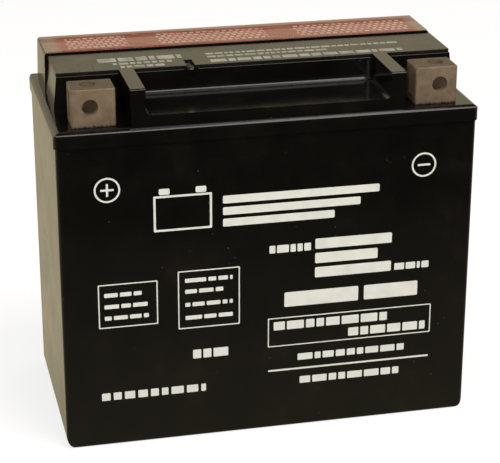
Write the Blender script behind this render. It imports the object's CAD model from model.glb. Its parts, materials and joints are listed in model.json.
"""A sealed motorcycle battery: glossy moulded case, printed front, foil over the filler deck, and lead terminals."""

import json
import math

import bpy
import numpy as np
from mathutils import Matrix, Vector

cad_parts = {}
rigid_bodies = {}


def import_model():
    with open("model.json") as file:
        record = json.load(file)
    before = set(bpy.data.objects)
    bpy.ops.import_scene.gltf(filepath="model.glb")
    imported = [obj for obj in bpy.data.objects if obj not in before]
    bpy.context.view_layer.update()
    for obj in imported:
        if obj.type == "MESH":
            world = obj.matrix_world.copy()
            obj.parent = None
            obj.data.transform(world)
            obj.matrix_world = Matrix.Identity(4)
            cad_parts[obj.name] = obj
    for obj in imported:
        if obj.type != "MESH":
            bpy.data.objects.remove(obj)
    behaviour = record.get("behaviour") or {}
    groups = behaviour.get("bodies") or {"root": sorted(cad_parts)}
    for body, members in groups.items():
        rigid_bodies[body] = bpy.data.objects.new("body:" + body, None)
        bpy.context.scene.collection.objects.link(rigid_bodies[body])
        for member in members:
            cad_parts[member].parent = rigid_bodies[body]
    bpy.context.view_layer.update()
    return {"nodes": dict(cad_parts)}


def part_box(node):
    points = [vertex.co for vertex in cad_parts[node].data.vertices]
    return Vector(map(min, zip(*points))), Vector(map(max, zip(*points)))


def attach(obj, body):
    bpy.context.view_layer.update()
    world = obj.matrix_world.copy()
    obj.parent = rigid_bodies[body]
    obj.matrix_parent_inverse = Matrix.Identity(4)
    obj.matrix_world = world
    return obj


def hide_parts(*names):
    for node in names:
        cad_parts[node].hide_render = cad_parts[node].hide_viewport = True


for leftover in list(bpy.data.objects):
    bpy.data.objects.remove(leftover)

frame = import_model()
NODES = frame["nodes"]

MM = 0.001

# Faces that the new pieces lie on, in millimetres
CASE_LOW, CASE_HIGH = (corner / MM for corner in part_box("container"))
LID_LOW, LID_HIGH = (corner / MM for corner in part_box("vent_lid"))
FOIL_LOW, FOIL_HIGH = (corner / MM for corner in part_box("foil_seal"))
FRONT_Y = CASE_LOW.y
LEFT_X = CASE_LOW.x
LID_Z = LID_HIGH.z

INK_T = 0.03       # thickness of a screen-printed mark
INK_SUNK = 0.01    # how far a mark starts below the face that it is printed on


# ---------------------------------------------------------------- meshes

def grid_faces(rows, cols, close_rows, close_cols):
    """Quads between neighbouring points of a grid, and round its ends where it closes on itself."""
    r = np.arange(rows if close_rows else rows - 1)
    c = np.arange(cols if close_cols else cols - 1)
    r, c = (a.ravel() for a in np.meshgrid(r, c, indexing="ij"))
    r1, c1 = (r + 1) % rows, (c + 1) % cols
    return np.stack([r * cols + c, r * cols + c1, r1 * cols + c1, r1 * cols + c], 1)


def make_piece(name, points, quads, caps=(), smooth=False):
    """A mesh object from points in millimetres, an array of quads and lists of points for flat end caps."""
    mesh = bpy.data.meshes.new(name)
    faces = quads.tolist() + [list(cap) for cap in caps]
    mesh.from_pydata((points * MM).tolist(), [], faces)
    mesh.polygons.foreach_set("use_smooth", np.full(len(faces), smooth))
    mesh.update()
    piece = bpy.data.objects.new(name, mesh)
    bpy.context.scene.collection.objects.link(piece)
    return piece


def rounded_bars(bars, radius, steps=4):
    """Outlines of bars (x0, x1, z0, z1), one row of points each: every corner is a quarter circle of the radius,
    or of half the bar's smaller side where that is less."""
    bars = np.asarray(bars, float)
    middle = np.stack([bars[:, :2].mean(1), bars[:, 2:].mean(1)], 1)
    half = np.stack([np.ptp(bars[:, :2], 1), np.ptp(bars[:, 2:], 1)], 1) / 2
    r = np.minimum(radius, half.min(1) * 0.999)[:, None]
    corner = np.repeat(np.arange(4), steps + 1)
    turn = (corner + np.tile(np.linspace(0, 1, steps + 1), 4)) * math.pi / 2
    sx = np.sign(np.cos((corner + 0.5) * math.pi / 2))
    sz = np.sign(np.sin((corner + 0.5) * math.pi / 2))
    x = middle[:, :1] + sx * (half[:, :1] - r) + r * np.cos(turn)
    z = middle[:, 1:] + sz * (half[:, 1:] - r) + r * np.sin(turn)
    return np.stack([x, z], -1)


def front_face(flat, lift):
    """Puts (x, z) points on the case's front, lift millimetres proud of it."""
    return np.stack([flat[..., 0], np.full(flat.shape[:-1], FRONT_Y - lift), flat[..., 1]], -1)


def lid_face(flat, lift):
    """Puts (x, y) points on the vent lid, lift millimetres above it."""
    return np.stack([flat[..., 0], flat[..., 1], np.full(flat.shape[:-1], LID_Z + lift)], -1)


def printed_bars(name, outlines, face, flip):
    """Flat prints: each outline, once below the face and once proud of it, with a wall between and a cap on both.
    flip turns the faces over where the outline runs the other way round."""
    count, cols = outlines.shape[:2]
    points = np.stack([face(outlines, -INK_SUNK), face(outlines, INK_T)], 1).reshape(-1, 3)
    wall = grid_faces(2, cols, False, True)
    base = np.arange(count)[:, None] * 2 * cols
    quads = (base[:, :, None] + wall[None]).reshape(-1, 4)
    low = base + np.arange(cols)[None]
    high = low[:, ::-1] + cols
    caps = np.concatenate([low, high])
    if flip:
        quads, caps = quads[:, ::-1], caps[:, ::-1]
    return make_piece(name, points, quads, caps.tolist())


def printed_ring(name, outer, inner, face, flip):
    """A printed line that closes on itself: a four-sided profile carried round between two outlines."""
    points = np.stack([face(inner, -INK_SUNK), face(inner, INK_T), face(outer, INK_T), face(outer, -INK_SUNK)])
    quads = grid_faces(4, len(outer), True, True)
    return make_piece(name, points.reshape(-1, 3), quads[:, ::-1] if flip else quads)


def circle(x, z, r, steps=64):
    """Points round a circle: the middle plus r times the cosine and sine of an even turn."""
    t = np.arange(steps) / steps * 2 * math.pi
    return np.stack([x + r * np.cos(t), z + r * np.sin(t)], -1)


def dashes(rng, x0, x1, low, high, mean, gap):
    """A row of bars from x0 to x1 in place of words: lengths drawn evenly round the mean, a gap between them."""
    count = int((x1 - x0) / (mean + gap)) + 4
    lengths = mean * rng.uniform(0.45, 1.55, count)
    ends = x0 + np.cumsum(lengths + gap) - gap
    starts = ends - lengths
    keep = starts < x1 - gap
    starts, ends = starts[keep], np.minimum(ends[keep], x1)
    rows = np.stack([starts, ends, np.full(len(starts), low), np.full(len(starts), high)], 1)
    return rows[rows[:, 1] - rows[:, 0] > gap]


# ---------------------------------------------------------------- materials

def linear(hex_colour):
    """An sRGB colour such as "#a0b0c0" as linear red, green, blue and alpha."""
    parts = [int(hex_colour[i:i + 2], 16) / 255 for i in (1, 3, 5)]
    return [c / 12.92 if c <= 0.04045 else ((c + 0.055) / 1.055) ** 2.4 for c in parts] + [1.0]


def per_mm(size):
    """The scale of a pattern whose features are size millimetres across, on coordinates in metres."""
    return 1 / (size * MM)


def add(tree, kind, inputs=(), **settings):
    """Adds a node with its settings. inputs maps a socket's name or number to a value or another node's output."""
    made = tree.nodes.new(kind)
    for key, value in settings.items():
        setattr(made, key, value)
    for key, value in dict(inputs).items():
        if isinstance(value, bpy.types.NodeSocket):
            tree.links.new(value, made.inputs[key])
        else:
            made.inputs[key].default_value = value
    return made


def new_material(name, **shader):
    """A material with a Principled shader whose sockets are set by name, and the piece's own coordinates."""
    material = bpy.data.materials.new(name)
    material.use_nodes = True
    tree = material.node_tree
    tree.nodes.clear()
    surface = add(tree, "ShaderNodeBsdfPrincipled", {k.replace("_", " "): v for k, v in shader.items()})
    add(tree, "ShaderNodeOutputMaterial", {"Surface": surface.outputs["BSDF"]})
    place = add(tree, "ShaderNodeTexCoord").outputs["Object"]
    return material, tree, surface, place


def ramp(tree, factor, stops, steps="LINEAR"):
    """A colour ramp from (position, hex colour) stops."""
    made = add(tree, "ShaderNodeValToRGB", {"Fac": factor})
    line = made.color_ramp
    line.interpolation = steps
    while len(line.elements) < len(stops):
        line.elements.new(0.5)
    for element, (at, colour) in zip(line.elements, stops):
        element.position, element.color = at, linear(colour)
    return made.outputs["Color"]


def spread(tree, value, low, high, to_low=0.0, to_high=1.0):
    """Maps value from low..high to to_low..to_high, and holds it at the ends."""
    made = add(tree, "ShaderNodeMapRange", {"Value": value, "From Min": low, "From Max": high,
                                            "To Min": to_low, "To Max": to_high})
    return made.outputs["Result"]


def moulded_polypropylene(name, tones, roughness, specular, streaks):
    """Black polypropylene from a polished mould: near black, mirror-like, with hair scratches, faint haze where it
    was handled and specks of dust. Streaks are the faint upright flow lines of the moulding."""
    material, tree, surface, place = new_material(name, Specular_IOR_Level=specular, IOR=1.49)
    haze = add(tree, "ShaderNodeTexNoise", {"Vector": place, "Scale": per_mm(22), "Detail": 6.0, "Roughness": 0.6})
    tall = add(tree, "ShaderNodeMapping", {"Vector": place, "Scale": (1.0, 1.0, 0.06)})
    flow = add(tree, "ShaderNodeTexNoise", {"Vector": tall.outputs["Vector"], "Scale": per_mm(3.5), "Detail": 3.0})
    hair = add(tree, "ShaderNodeMapping", {"Vector": place, "Rotation": (0.4, 0.3, 0.5), "Scale": (1.0, 0.04, 1.0)})
    scratch = add(tree, "ShaderNodeTexNoise", {"Vector": hair.outputs["Vector"], "Scale": per_mm(0.9), "Detail": 2.0})
    scratched = spread(tree, scratch.outputs["Fac"], 0.66, 0.74)
    # Dust: a speck here and there, up to 0.3 mm across
    cells = add(tree, "ShaderNodeTexVoronoi", {"Vector": place, "Scale": per_mm(5.5), "Randomness": 1.0})
    dust = spread(tree, cells.outputs["Distance"], 0.035, 0.02)
    body = ramp(tree, spread(tree, haze.outputs["Fac"], 0.35, 0.72), tones)
    dusty = add(tree, "ShaderNodeMixRGB", {"Fac": dust, "Color1": body, "Color2": linear("#6b6252")})
    tree.links.new(dusty.outputs["Color"], surface.inputs["Base Color"])
    smooth = spread(tree, haze.outputs["Fac"], 0.3, 0.75, roughness * 0.7, roughness * 1.5)
    scuffed = add(tree, "ShaderNodeMath", {0: scratched, 1: 0.12, 2: smooth}, operation="MULTIPLY_ADD")
    rougher = add(tree, "ShaderNodeMath", {0: scuffed.outputs["Value"], 1: dust}, operation="MAXIMUM")
    tree.links.new(rougher.outputs["Value"], surface.inputs["Roughness"])
    relief = add(tree, "ShaderNodeMath", {0: flow.outputs["Fac"], 1: streaks, 2: haze.outputs["Fac"]},
                 operation="MULTIPLY_ADD")
    cut = add(tree, "ShaderNodeMath", {0: scratched, 1: -0.25, 2: relief.outputs["Value"]}, operation="MULTIPLY_ADD")
    bump = add(tree, "ShaderNodeBump", {"Height": cut.outputs["Value"], "Strength": 0.35, "Distance": 0.00006})
    tree.links.new(bump.outputs["Normal"], surface.inputs["Normal"])
    return material


def cast_lead(name, foot_z, top_z, tones, roughness):
    """Cast lead that has grown its tan oxide film: dull, mottled, a little pitted, grimy round its foot and darker
    on its top, where fingers and cable lugs touch it."""
    material, tree, surface, place = new_material(name, Metallic=0.15, Specular_IOR_Level=0.4)
    mottle = add(tree, "ShaderNodeTexNoise", {"Vector": place, "Scale": per_mm(5), "Detail": 8.0, "Roughness": 0.62})
    grain = add(tree, "ShaderNodeTexNoise", {"Vector": place, "Scale": per_mm(0.7), "Detail": 4.0})
    film = ramp(tree, spread(tree, mottle.outputs["Fac"], 0.3, 0.7), tones)
    height = add(tree, "ShaderNodeSeparateXYZ", {"Vector": place}).outputs["Z"]
    ragged = add(tree, "ShaderNodeMath", {0: grain.outputs["Fac"], 1: 0.0028, 2: height}, operation="MULTIPLY_ADD")
    grime = spread(tree, ragged.outputs["Value"], foot_z * MM + 0.0022, foot_z * MM + 0.0015)
    worn = add(tree, "ShaderNodeMixRGB", {"Fac": spread(tree, height, (top_z - 0.4) * MM, (top_z - 0.1) * MM, 0.0, 0.7),
                                          "Color1": film, "Color2": linear("#4b3f33")})
    mixed = add(tree, "ShaderNodeMixRGB", {"Fac": grime, "Color1": worn.outputs["Color"],
                                           "Color2": linear("#1c1712")})
    tree.links.new(mixed.outputs["Color"], surface.inputs["Base Color"])
    tree.links.new(spread(tree, grain.outputs["Fac"], 0.3, 0.7, roughness - 0.08, roughness + 0.12),
                   surface.inputs["Roughness"])
    pits = add(tree, "ShaderNodeMath", {0: grain.outputs["Fac"], 1: mottle.outputs["Fac"]}, operation="ADD")
    bump = add(tree, "ShaderNodeBump", {"Height": pits.outputs["Value"], "Strength": 0.5, "Distance": 0.00025})
    tree.links.new(bump.outputs["Normal"], surface.inputs["Normal"])
    return material


def lacquered_foil():
    """Aluminium foil with red ink under clear lacquer: a red field with pale margins at the ends and the back,
    creases that catch the light, and a gloss over all of it."""
    material, tree, surface, place = new_material("lacquered_aluminium_foil", Specular_IOR_Level=0.55,
                                                  Coat_Weight=0.2, Coat_Roughness=0.15)
    axes = add(tree, "ShaderNodeSeparateXYZ", {"Vector": place})
    x, y = axes.outputs["X"], axes.outputs["Y"]
    smear = add(tree, "ShaderNodeTexNoise", {"Vector": place, "Scale": per_mm(9), "Detail": 5.0})
    # The printed field, with an edge that wanders by half a millimetre
    edge = add(tree, "ShaderNodeMath", {0: smear.outputs["Fac"], 1: 0.0012, 2: y}, operation="MULTIPLY_ADD")
    back = spread(tree, edge.outputs["Value"], 0.0388, 0.0376)
    left = spread(tree, x, -0.0778, -0.0752)
    right = spread(tree, x, 0.0803, 0.0782)
    ends = add(tree, "ShaderNodeMath", {0: left, 1: right}, operation="MULTIPLY")
    field = add(tree, "ShaderNodeMath", {0: ends.outputs["Value"], 1: back}, operation="MULTIPLY")
    patchy = spread(tree, smear.outputs["Fac"], 0.3, 0.7)
    red = ramp(tree, patchy, [(0.0, "#701a18"), (0.55, "#7c211e"), (1.0, "#8a302b")])
    margin = ramp(tree, patchy, [(0.0, "#6b4a3e"), (1.0, "#806455")])
    inked = add(tree, "ShaderNodeMixRGB", {"Fac": field.outputs["Value"], "Color1": margin, "Color2": red})
    # Fine print: rows of pale dashes, 3.3 mm apart, in three blocks, with some dashes left out
    in_mm = add(tree, "ShaderNodeMapping", {"Vector": place, "Location": (0.0, 0.9, 0.0), "Scale": (1000, 1000, 1000)})
    bricks = add(tree, "ShaderNodeTexBrick", {"Vector": in_mm.outputs["Vector"], "Color1": (1, 1, 1, 1),
                                              "Color2": (0, 0, 0, 1), "Mortar": (0, 0, 0, 1), "Scale": 1.0,
                                              "Mortar Size": 0.62, "Mortar Smooth": 0.3, "Bias": -0.55,
                                              "Brick Width": 2.9, "Row Height": 3.3})
    columns = ramp(tree, spread(tree, x, -0.100, 0.100),
                   [(0.0, "#000000"), (0.135, "#ffffff"), (0.265, "#000000"), (0.33, "#ffffff"),
                    (0.57, "#000000"), (0.635, "#ffffff"), (0.885, "#000000")], "CONSTANT")
    within = add(tree, "ShaderNodeMath", {0: spread(tree, y, 0.0182, 0.0188), 1: spread(tree, y, 0.0348, 0.0342)},
                 operation="MULTIPLY")
    lettered = add(tree, "ShaderNodeMixRGB", {"Fac": within.outputs["Value"], "Color1": (0, 0, 0, 1),
                                              "Color2": columns})
    shown = add(tree, "ShaderNodeMath", {0: bricks.outputs["Color"], 1: lettered.outputs["Color"]},
                operation="MULTIPLY")
    faint = add(tree, "ShaderNodeMath", {0: shown.outputs["Value"], 1: 0.62}, operation="MULTIPLY")
    printed = add(tree, "ShaderNodeMixRGB", {"Fac": faint.outputs["Value"], "Color1": inked.outputs["Color"],
                                             "Color2": linear("#c9a79a")})
    tree.links.new(printed.outputs["Color"], surface.inputs["Base Color"])
    tree.links.new(spread(tree, smear.outputs["Fac"], 0.3, 0.7, 0.2, 0.34), surface.inputs["Roughness"])
    crease = add(tree, "ShaderNodeTexVoronoi", {"Vector": place, "Scale": per_mm(7)}, feature="DISTANCE_TO_EDGE")
    fine = add(tree, "ShaderNodeTexNoise", {"Vector": place, "Scale": per_mm(1.6), "Detail": 4.0})
    height = add(tree, "ShaderNodeMath", {0: fine.outputs["Fac"], 1: spread(tree, crease.outputs["Distance"], 0.0, 0.1)},
                 operation="ADD")
    bump = add(tree, "ShaderNodeBump", {"Height": height.outputs["Value"], "Strength": 0.3, "Distance": 0.0001})
    # The foil is stretched over the raised back of the deck, so a band along it leans forwards and loses the glare
    wander = add(tree, "ShaderNodeMath", {0: smear.outputs["Fac"], 1: 0.0022, 2: y}, operation="MULTIPLY_ADD")
    lean = add(tree, "ShaderNodeBump", {"Height": spread(tree, wander.outputs["Value"], 0.0325, 0.0388),
                                        "Strength": 1.0, "Distance": 0.0009, "Normal": bump.outputs["Normal"]})
    tree.links.new(lean.outputs["Normal"], surface.inputs["Normal"])
    return material


def screen_ink(name, tones, roughness=0.45):
    """Screen-printed ink: thin, matt to satin, a little uneven in tone where it was laid on thinly."""
    material, tree, surface, place = new_material(name, Specular_IOR_Level=0.3)
    patch = add(tree, "ShaderNodeTexNoise", {"Vector": place, "Scale": per_mm(6), "Detail": 6.0})
    tree.links.new(ramp(tree, spread(tree, patch.outputs["Fac"], 0.32, 0.7), tones), surface.inputs["Base Color"])
    tree.links.new(spread(tree, patch.outputs["Fac"], 0.3, 0.7, roughness - 0.05, roughness + 0.1),
                   surface.inputs["Roughness"])
    return material


def plain_stuff(name, tones, roughness, grain_mm, depth_mm, metallic=0.0):
    """A matt inner material: its tones wander with the grain, which also stands in slight relief."""
    material, tree, surface, place = new_material(name, Metallic=metallic)
    grain = add(tree, "ShaderNodeTexNoise", {"Vector": place, "Scale": per_mm(grain_mm), "Detail": 5.0})
    tree.links.new(ramp(tree, spread(tree, grain.outputs["Fac"], 0.3, 0.7), tones), surface.inputs["Base Color"])
    tree.links.new(spread(tree, grain.outputs["Fac"], 0.3, 0.7, roughness - 0.06, roughness + 0.06),
                   surface.inputs["Roughness"])
    bump = add(tree, "ShaderNodeBump", {"Height": grain.outputs["Fac"], "Strength": 0.5, "Distance": depth_mm * MM})
    tree.links.new(bump.outputs["Normal"], surface.inputs["Normal"])
    return material


case_plastic = moulded_polypropylene("polished_black_polypropylene",
                                     [(0.0, "#0a0908"), (0.6, "#0f0d0b"), (1.0, "#171411")], 0.13, 0.3, 0.5)
lid_plastic = moulded_polypropylene("satin_black_polypropylene",
                                    [(0.0, "#14130f"), (0.6, "#1b1916"), (1.0, "#24211c")], 0.22, 0.32, 0.0)
lead_film = cast_lead("oxidised_cast_lead", 139.0, 154.9, [(0.0, "#695843"), (0.5, "#77654f"), (1.0, "#82725c")], 0.55)
lead_bright = cast_lead("fresh_cast_lead", 0.0, 300.0, [(0.0, "#6f6f70"), (0.5, "#838282"), (1.0, "#96938f")], 0.42)
foil_print = lacquered_foil()
white_ink = screen_ink("off_white_screen_ink", [(0.0, "#d2d2ca"), (0.5, "#d8d8d0"), (1.0, "#dcdcd4")])
grey_ink = screen_ink("grey_screen_ink", [(0.0, "#7d7a6c"), (0.5, "#98958a"), (1.0, "#a5a297")])
ring_rubber = plain_stuff("nitrile_rubber", [(0.0, "#141414"), (1.0, "#232221")], 0.6, 1.2, 0.05)
valve_rubber = plain_stuff("epdm_rubber", [(0.0, "#181817"), (1.0, "#2a2927")], 0.55, 0.8, 0.05)
arrestor_stone = plain_stuff("sintered_ceramic", [(0.0, "#2c2a27"), (1.0, "#45413b")], 0.85, 0.3, 0.08)
plus_paste = plain_stuff("lead_dioxide_paste", [(0.0, "#3a2a20"), (1.0, "#6a5140")], 0.8, 0.6, 0.1)
minus_paste = plain_stuff("sponge_lead_paste", [(0.0, "#6a6c6e"), (1.0, "#8e9092")], 0.6, 0.6, 0.1, metallic=0.4)
glass_fleece = plain_stuff("glass_fibre_fleece", [(0.0, "#dcd8cb"), (1.0, "#f2efe6")], 0.9, 0.25, 0.1)

FINISHES = {
    "container": case_plastic, "cover": case_plastic, "vent_lid": lid_plastic, "foil_seal": foil_print,
    "safety_valve": valve_rubber, "flame_arrestor": arrestor_stone,
    "positive_terminal": lead_film, "negative_terminal": lead_film,
    "positive_post": lead_bright, "negative_post": lead_bright,
    "positive_seal_ring": ring_rubber, "negative_seal_ring": ring_rubber,
}
ENDINGS = {"_positive_plates": plus_paste, "_negative_plates": minus_paste, "_separators": glass_fleece}
for node_name, node in NODES.items():
    found = [m for ending, m in ENDINGS.items() if node_name.startswith("cell_") and node_name.endswith(ending)]
    finish = FINISHES.get(node_name) or (found[0] if found else lead_bright)
    node.data.materials.clear()
    node.data.materials.append(finish)


# ---------------------------------------------------------------- the foil

FOIL_X, FOIL_Y = 520, 90      # grid of the foil's top
FOIL_SHEET = 0.03             # thickness of the foil at its rim


def foil_height(x, y):
    """Height of the foil's top over the deck, in millimetres: long creases that run slantwise and fade out in patches,
    a shallow dish over each filler port, a rim that is sealed down flat, and more swell towards the left."""
    patches = 0.5 + 0.5 * np.sin(x / 17.0 + 1.3 * np.sin(y / 9.0)) * np.cos(y / 11.0 - x / 31.0)
    creases = np.abs(np.sin(x / 6.1 + y / 3.7 + 1.1 * np.sin(y / 5.0 + x / 13.0)))
    cross = np.abs(np.sin(x / 9.3 - y / 4.9 + 0.8 * np.sin(x / 7.0)))
    relief = 0.085 * patches * (1 - creases) + 0.05 * (1 - patches) * (1 - cross)
    ports = np.array([(n - 2.5) * 28.37 for n in range(6)])
    away = np.hypot(x[..., None] - ports, y[..., None] - 28.7).min(-1)
    dish = 0.05 * np.exp(-((away / 4.6) ** 4))
    inside = np.minimum.reduce([x - FOIL_LOW.x, FOIL_HIGH.x - x, y - FOIL_LOW.y, FOIL_HIGH.y - y])
    free = np.clip(inside / 1.3, 0, 1)
    swell = 0.17 - 0.09 / (1 + np.exp(-(x + 15) / 12))
    return FOIL_SHEET + free * (swell + relief - dish)


def make_foil():
    """The foil: a closed loop over its top, down the back edge, under and up the front edge, carried along X."""
    x = np.linspace(FOIL_LOW.x, FOIL_HIGH.x, FOIL_X)
    y = np.linspace(FOIL_LOW.y, FOIL_HIGH.y, FOIL_Y)
    gx, gy = np.meshgrid(x, y, indexing="ij")
    top = np.stack([gx, gy, FOIL_LOW.z + foil_height(gx, gy)], -1)
    under = np.stack([gx, gy, np.full(gx.shape, FOIL_LOW.z)], -1)[:, [-1, 0]]
    loop = np.concatenate([top, under], 1)
    rows, cols = loop.shape[:2]
    quads = grid_faces(rows, cols, False, True)[:, ::-1]
    first = np.arange(cols)
    last = first[::-1] + (rows - 1) * cols
    return make_piece("red_foil", loop.reshape(-1, 3), quads, [first.tolist(), last.tolist()], smooth=True)


foil = make_foil()
foil.data.materials.append(foil_print)
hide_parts("foil_seal")
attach(foil, "foil")


# ---------------------------------------------------------------- prints

rng = np.random.default_rng(12)

# Polarity marks: a ring with a cross or a bar in it
PLUS_AT, MINUS_AT = (-67.0, 114.2), (64.8, 114.7)
RING_OUT, RING_IN = 5.3, 4.55
MARK_HALF, MARK_LINE = 2.7, 0.42

marks = [
    printed_ring("plus_ring", circle(*PLUS_AT, RING_OUT), circle(*PLUS_AT, RING_IN), front_face, False),
    printed_ring("minus_ring", circle(*MINUS_AT, RING_OUT), circle(*MINUS_AT, RING_IN), front_face, False),
    printed_bars("minus_sign", rounded_bars([(MINUS_AT[0] - MARK_HALF, MINUS_AT[0] + MARK_HALF,
                                              MINUS_AT[1] - MARK_LINE, MINUS_AT[1] + MARK_LINE)], 0.05),
                 front_face, True),
]
px, pz = PLUS_AT
marks.append(printed_bars("plus_sign", rounded_bars([
    (px - MARK_HALF, px + MARK_HALF, pz - MARK_LINE, pz + MARK_LINE),
    (px - MARK_LINE, px + MARK_LINE, pz + MARK_LINE, pz + MARK_HALF),
    (px - MARK_LINE, px + MARK_LINE, pz - MARK_HALF, pz - MARK_LINE)], 0.05), front_face, True))

# The front's plain marks, in place of words and signs: a battery outline with stripes beside it, a block of three
# stripes, a broad bar in two lengths, a framed panel, rows of dashes, and two framed panels at the left
stripes = [(-20.0, 46.0, 104.6, 108.0), (-20.0, 38.0, 99.6, 103.0), (-20.0, 27.0, 94.6, 98.0),
           (19.0, 52.0, 81.2, 85.8), (19.0, 46.0, 74.8, 79.4), (19.0, 52.0, 68.4, 73.0),
           (-46.2, -41.8, 110.4, 113.0), (-31.2, -26.8, 110.4, 113.0)]
bars = [(6.0, 38.0, 56.2, 62.8), (40.5, 64.0, 56.2, 62.8)]
rules = [(-0.8, 70.0, 26.7, 27.5)]
rows = [dashes(rng, -0.5, 17.5, 80.9, 84.3, 3.4, 0.7), dashes(rng, 53.5, 69.7, 68.6, 71.6, 3.0, 0.7),
        dashes(rng, 1.5, 51.0, 45.8, 49.6, 5.0, 0.9), dashes(rng, 34.0, 68.0, 40.0, 43.8, 5.0, 0.9),
        dashes(rng, 12.0, 59.0, 31.0, 34.0, 4.4, 0.9), dashes(rng, 13.0, 57.0, 20.0, 23.2, 4.4, 0.9),
        dashes(rng, -71.7, -26.0, 21.0, 24.4, 3.6, 1.3), dashes(rng, -69.5, -50.0, 57.5, 59.3, 4.0, 0.9),
        dashes(rng, -69.5, -50.0, 62.6, 64.4, 5.0, 0.9), dashes(rng, -69.5, -54.0, 67.7, 69.5, 5.0, 0.9),
        dashes(rng, -33.0, -18.0, 36.5, 40.5, 6.0, 0.9), dashes(rng, -36.0, -16.0, 54.5, 56.3, 5.0, 0.9),
        dashes(rng, -36.0, -16.0, 60.4, 62.2, 4.0, 0.9), dashes(rng, -36.0, -20.0, 66.3, 68.1, 5.0, 0.9),
        dashes(rng, -36.0, -16.0, 71.2, 73.0, 6.0, 0.9)]
marks.append(printed_bars("front_stripes", rounded_bars(stripes + bars, 0.6), front_face, True))
marks.append(printed_bars("front_rule", rounded_bars(rules, 0.2), front_face, True))
marks.append(printed_bars("front_dashes", rounded_bars(np.concatenate(rows), 0.35), front_face, True))


def frame_line(name, x0, x1, z0, z1, line):
    """A thin printed frame round a rectangle, line millimetres wide."""
    outer = rounded_bars([(x0, x1, z0, z1)], 0.4)[0]
    inner = rounded_bars([(x0 + line, x1 - line, z0 + line, z1 - line)], 0.4)[0]
    return printed_ring(name, outer, inner, front_face, False)


marks.append(frame_line("panel_frame", -1.0, 70.4, 38.2, 51.5, 0.45))
marks.append(frame_line("battery_outline", -48.5, -24.5, 94.6, 110.0, 0.9))
marks.append(frame_line("left_frame", -72.0, -47.4, 54.0, 73.5, 0.5))
marks.append(frame_line("middle_frame", -39.0, -13.0, 50.5, 76.5, 0.5))
for mark in marks:
    mark.data.materials.append(white_ink)
    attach(mark, "battery")

lid_rows = np.concatenate([
    dashes(rng, -63.0, -28.0, -0.8, 4.6, 5.2, 1.0), dashes(rng, -57.5, -33.0, -5.4, -2.6, 3.0, 0.8),
    dashes(rng, -55.0, -36.0, -10.0, -7.2, 3.0, 0.8), dashes(rng, -17.5, 66.0, 1.7, 3.9, 3.2, 0.6),
    dashes(rng, -17.5, 34.0, -2.6, -0.4, 3.2, 0.6), dashes(rng, -17.5, 65.0, -9.6, -5.8, 4.4, 0.9)])
lid_print = printed_bars("lid_dashes", rounded_bars(lid_rows, 0.3), lid_face, False)
lid_print.data.materials.append(grey_ink)
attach(lid_print, "battery")


# ---------------------------------------------------------------- floor, camera and lights

CREAM = (1.0, 0.87, 0.57, 1.0)     # the warm room that the glossy plastic mirrors, in linear values


def make_floor():
    """A wide flat sheet under the battery."""
    half = 3000.0
    points = np.array([(-half, -half, 0), (half, -half, 0), (half, half, 0), (-half, half, 0)], float)
    floor = make_piece("floor", points, np.array([[0, 1, 2, 3]]))
    material, tree, surface, place = new_material("pale_floor")
    output = next(n for n in tree.nodes if n.type == "OUTPUT_MATERIAL")
    tree.nodes.remove(surface)
    ray = add(tree, "ShaderNodeLightPath")
    # Seen directly: mostly its own pale white, with the battery's soft shadow on it
    lit = add(tree, "ShaderNodeBsdfDiffuse", {"Color": (0.36, 0.36, 0.36, 1)})
    own = add(tree, "ShaderNodeEmission", {"Color": (1, 1, 1, 1), "Strength": 0.72})
    seen = add(tree, "ShaderNodeAddShader", {0: lit.outputs["BSDF"], 1: own.outputs["Emission"]})
    # For other surfaces: a pale diffuse sheet, and in reflections a cream table that gets dark towards the front
    pale = add(tree, "ShaderNodeBsdfDiffuse", {"Color": linear("#e6e4df")})
    axes = add(tree, "ShaderNodeSeparateXYZ", {"Vector": place})
    glow = spread(tree, axes.outputs["Y"], -0.32, 0.08, 0.02, 0.6)
    mirrored = add(tree, "ShaderNodeEmission", {"Color": CREAM, "Strength": glow})
    first = add(tree, "ShaderNodeMixShader", {"Fac": ray.outputs["Is Glossy Ray"], 1: pale.outputs["BSDF"],
                                              2: mirrored.outputs["Emission"]})
    both = add(tree, "ShaderNodeMixShader", {"Fac": ray.outputs["Is Camera Ray"], 1: first.outputs["Shader"],
                                             2: seen.outputs["Shader"]})
    tree.links.new(both.outputs["Shader"], output.inputs["Surface"])
    floor.data.materials.append(material)


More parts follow.
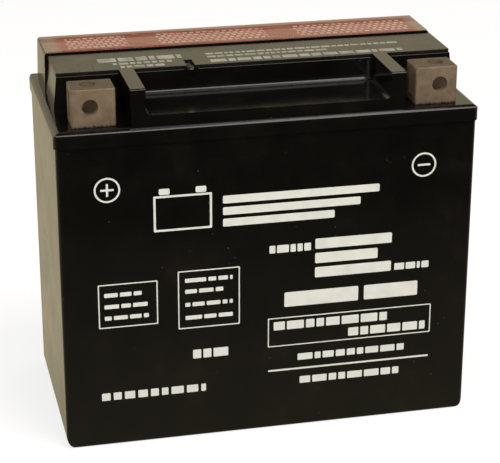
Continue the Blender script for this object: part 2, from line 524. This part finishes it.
def make_world():
    """White where it is seen, a plain neutral sky for lighting, and in reflections a warm low wall behind."""
    world = bpy.data.worlds.new("studio")
    bpy.context.scene.world = world
    world.use_nodes = True
    tree = world.node_tree
    tree.nodes.clear()
    ray = add(tree, "ShaderNodeLightPath")
    way = add(tree, "ShaderNodeSeparateXYZ", {"Vector": add(tree, "ShaderNodeTexCoord").outputs["Generated"]})
    behind = spread(tree, way.outputs["Y"], -0.35, 0.25, 0.05, 1.0)
    low = spread(tree, way.outputs["Z"], 0.60, 0.46, 0.04, 0.78)
    wall = add(tree, "ShaderNodeMath", {0: behind, 1: low}, operation="MULTIPLY")
    room = add(tree, "ShaderNodeBackground", {"Color": CREAM, "Strength": wall.outputs["Value"]})
    sky = add(tree, "ShaderNodeBackground", {"Color": linear("#fffdf8"), "Strength": 0.5})
    white = add(tree, "ShaderNodeBackground", {"Color": (1, 1, 1, 1), "Strength": 1.0})
    first = add(tree, "ShaderNodeMixShader", {"Fac": ray.outputs["Is Glossy Ray"], 1: sky.outputs["Background"],
                                              2: room.outputs["Background"]})
    both = add(tree, "ShaderNodeMixShader", {"Fac": ray.outputs["Is Camera Ray"], 1: first.outputs["Shader"],
                                             2: white.outputs["Background"]})
    add(tree, "ShaderNodeOutputWorld", {"Surface": both.outputs["Shader"]})


def soft_box(name, way, away, size, power, colour):
    """A square area lamp, away metres from the battery's middle along way, facing it."""
    data = bpy.data.lights.new(name, "AREA")
    data.shape, data.size, data.energy, data.color = "SQUARE", size, power, colour
    lamp = bpy.data.objects.new(name, data)
    at = Vector(way).normalized() * away
    lamp.location = at + TARGET
    lamp.rotation_euler = at.to_track_quat("Z", "Y").to_euler()
    bpy.context.scene.collection.objects.link(lamp)


TARGET = Vector((0, 0, 0.0775))
CAMERA_TURN, CAMERA_DROP, CAMERA_ROLL = math.radians(13.0), math.radians(21.9), math.radians(0.1)
CAMERA_AWAY, CAMERA_SIDE, CAMERA_RISE = 0.7603, 0.0011, -0.0033


def make_camera():
    """A long lens, left of the middle and a little above, aimed at the battery's middle."""
    ahead = Vector((math.sin(CAMERA_TURN) * math.cos(CAMERA_DROP), math.cos(CAMERA_TURN) * math.cos(CAMERA_DROP),
                    -math.sin(CAMERA_DROP)))
    side = Vector((math.cos(CAMERA_TURN), -math.sin(CAMERA_TURN), 0))
    rise = side.cross(ahead)
    data = bpy.data.cameras.new("camera")
    data.sensor_fit, data.sensor_width, data.lens = "HORIZONTAL", 36.0, 126.0
    camera = bpy.data.objects.new("camera", data)
    camera.location = TARGET - ahead * CAMERA_AWAY + side * CAMERA_SIDE + rise * CAMERA_RISE
    upright = Matrix((side, rise, -ahead)).transposed()
    camera.rotation_euler = (upright @ Matrix.Rotation(CAMERA_ROLL, 3, "Z")).to_euler()
    bpy.context.scene.collection.objects.link(camera)
    bpy.context.scene.camera = camera


make_camera()
make_floor()
make_world()
soft_box("overhead_box", (0.21, -0.40, 0.90), 1.1, 0.55, 7.0, (1.0, 0.97, 0.92))
soft_box("front_box", (-0.45, -0.8, 0.45), 1.6, 0.9, 8.0, (1.0, 0.99, 0.97))
bpy.context.scene.view_settings.view_transform = "Standard"
